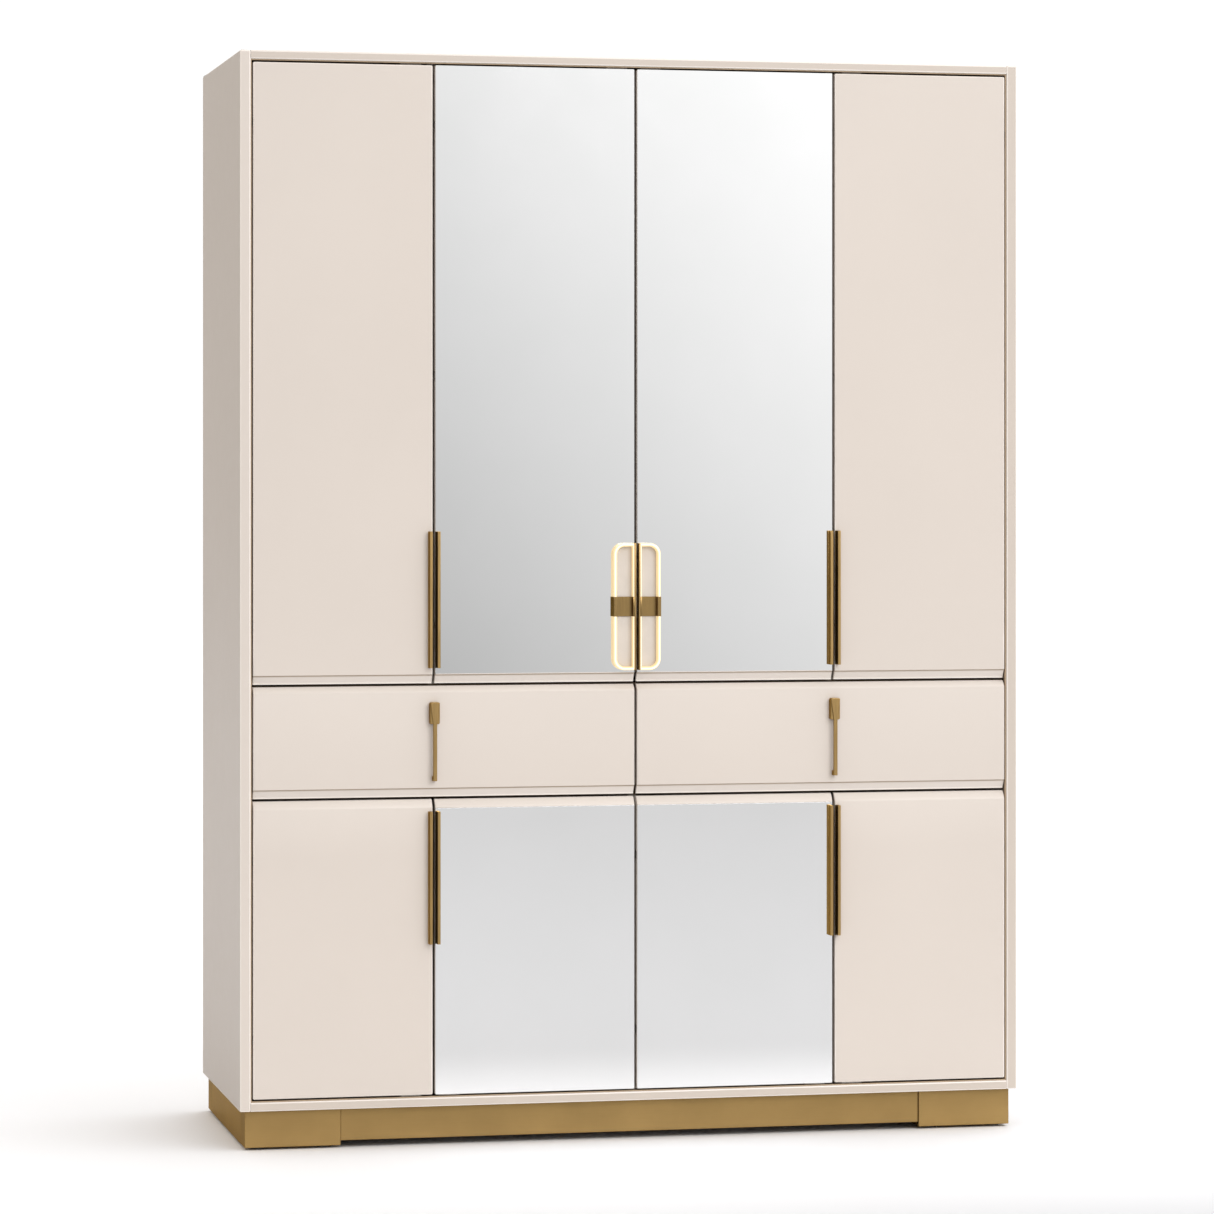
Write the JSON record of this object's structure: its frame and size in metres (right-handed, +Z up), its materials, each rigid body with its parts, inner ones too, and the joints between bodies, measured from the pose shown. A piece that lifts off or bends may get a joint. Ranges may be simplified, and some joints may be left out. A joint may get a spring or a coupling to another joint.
{
  "type": "armoire",
  "caption": "Tall lacquered armoire with hinged doors, centre mirrors, drawers across the middle, brass edge pulls, a lit centre handle and a brass plinth.",
  "frame": {"origin": "centre of the bounding box at floor level, under the glides", "axes": "+Z up, +X to the right of someone facing the fronts, +Y from the fronts to the back"},
  "size_m": [1.626, 0.617, 2.21],
  "materials": {
    "lacquer": "smooth satin lacquer on fibreboard, warm ivory",
    "interior_board": "satin laminated board, warm beige",
    "drawer_lining": "oiled light timber",
    "mirror": "silvered mirror glass with a fine ground edge",
    "brushed_brass": "fine brushed satin, lacquered",
    "plinth_brass": "satin brass-coloured cladding",
    "light_diffuser": "opal light diffuser, glowing warm white",
    "tray_infill": "smooth cream infill",
    "hardware_steel": "nickel-plated",
    "rail_metal": "satin brass",
    "glide_plastic": "black, fine texture",
    "catch_plastic": "beige moulding"
  },
  "bodies": {
    "cabinet": {"back_panel": "interior_board", "bottom_panel": "lacquer", "cabinet_fasteners": "hardware_steel", "drawer_partition": "interior_board", "floor_glides": "glide_plastic", "hanging_rail": "rail_metal", "hinge_arms": "hardware_steel", "hinge_pins": "hardware_steel", "lower_deck": "interior_board", "lower_partition": "interior_board", "magnet_catches": "catch_plastic", "plinth_feet": "plinth_brass", "plinth_frame": "plinth_brass", "plinth_front_rail": "plinth_brass", "rail_sockets": "rail_metal", "runner_cabinet_members": "hardware_steel", "shelf_pins": "hardware_steel", "shelves": "interior_board", "side_panel_left": "lacquer", "side_panel_right": "lacquer", "top_panel": "lacquer", "upper_deck": "interior_board", "upper_partitions": "interior_board", "wall_brackets": "hardware_steel"},
    "upper_outer_door_left": {"door_upper_outer_left": "lacquer", "pull_upper_outer_left": "brushed_brass"},
    "upper_outer_door_right": {"door_upper_outer_right": "lacquer", "pull_upper_outer_right": "brushed_brass"},
    "upper_inner_door_left": {"door_upper_inner_left": "lacquer", "pull_upper_inner_left": "brushed_brass", "mirror_upper_left": "mirror", "handle_light_left": "light_diffuser", "handle_tray_left": "tray_infill", "handle_brass_left": "brushed_brass"},
    "upper_inner_door_right": {"door_upper_inner_right": "lacquer", "pull_upper_inner_right": "brushed_brass", "mirror_upper_right": "mirror", "handle_light_right": "light_diffuser", "handle_tray_right": "tray_infill", "handle_brass_right": "brushed_brass"},
    "lower_outer_door_left": {"door_lower_outer_left": "lacquer", "pull_lower_outer_left": "brushed_brass"},
    "lower_outer_door_right": {"door_lower_outer_right": "lacquer", "pull_lower_outer_right": "brushed_brass"},
    "lower_inner_door_left": {"door_lower_inner_left": "lacquer", "pull_lower_inner_left": "brushed_brass", "mirror_lower_left": "mirror"},
    "lower_inner_door_right": {"door_lower_inner_right": "lacquer", "pull_lower_inner_right": "brushed_brass", "mirror_lower_right": "mirror"},
    "drawer_left": {"drawer_front_left": "lacquer", "drawer_box_left": "drawer_lining", "drawer_pull_left": "brushed_brass", "runner_drawer_members_left": "hardware_steel"},
    "runner_middle_left": {"runner_middle_members_left": "hardware_steel"},
    "drawer_right": {"drawer_front_right": "lacquer", "drawer_box_right": "drawer_lining", "drawer_pull_right": "brushed_brass", "runner_drawer_members_right": "hardware_steel"},
    "runner_middle_right": {"runner_middle_members_right": "hardware_steel"}
  },
  "joints": [
    {"name": "upper_outer_door_left_hinge", "type": "hinge", "parent": "cabinet", "child": "upper_outer_door_left", "pos_m": [-0.76, -0.2825, 1.56075], "axis": [0, 0, -1], "range_deg": [0, 90]},
    {"name": "upper_outer_door_right_hinge", "type": "hinge", "parent": "cabinet", "child": "upper_outer_door_right", "pos_m": [0.76, -0.2825, 1.56075], "axis": [0, 0, 1], "range_deg": [0, 90]},
    {"name": "upper_inner_door_left_hinge", "type": "hinge", "parent": "cabinet", "child": "upper_inner_door_left", "pos_m": [-0.3705, -0.2825, 1.56075], "axis": [0, 0, -1], "range_deg": [0, 90]},
    {"name": "upper_inner_door_right_hinge", "type": "hinge", "parent": "cabinet", "child": "upper_inner_door_right", "pos_m": [0.3705, -0.2825, 1.56075], "axis": [0, 0, 1], "range_deg": [0, 90]},
    {"name": "lower_outer_door_left_hinge", "type": "hinge", "parent": "cabinet", "child": "lower_outer_door_left", "pos_m": [-0.76, -0.2825, 0.4025], "axis": [0, 0, -1], "range_deg": [0, 90]},
    {"name": "lower_outer_door_right_hinge", "type": "hinge", "parent": "cabinet", "child": "lower_outer_door_right", "pos_m": [0.76, -0.2825, 0.4025], "axis": [0, 0, 1], "range_deg": [0, 90]},
    {"name": "lower_inner_door_left_hinge", "type": "hinge", "parent": "cabinet", "child": "lower_inner_door_left", "pos_m": [-0.048, -0.2825, 0.4025], "axis": [0, 0, 1], "range_deg": [0, 90]},
    {"name": "lower_inner_door_right_hinge", "type": "hinge", "parent": "cabinet", "child": "lower_inner_door_right", "pos_m": [0.048, -0.2825, 0.4025], "axis": [0, 0, -1], "range_deg": [0, 90]},
    {"name": "drawer_left_slide", "type": "slide", "parent": "cabinet", "child": "drawer_left", "axis": [0, -1, 0], "range_m": [0, 0.42]},
    {"name": "runner_middle_left_slide", "type": "slide", "parent": "cabinet", "child": "runner_middle_left", "axis": [0, -1, 0], "range_m": [0, 0.21]},
    {"name": "drawer_right_slide", "type": "slide", "parent": "cabinet", "child": "drawer_right", "axis": [0, -1, 0], "range_m": [0, 0.42]},
    {"name": "runner_middle_right_slide", "type": "slide", "parent": "cabinet", "child": "runner_middle_right", "axis": [0, -1, 0], "range_m": [0, 0.21]}
  ],
  "couplings": [
    {"joint": "runner_middle_left_slide", "follows": "drawer_left_slide", "ratio": 0.5},
    {"joint": "runner_middle_right_slide", "follows": "drawer_right_slide", "ratio": 0.5}
  ]
}
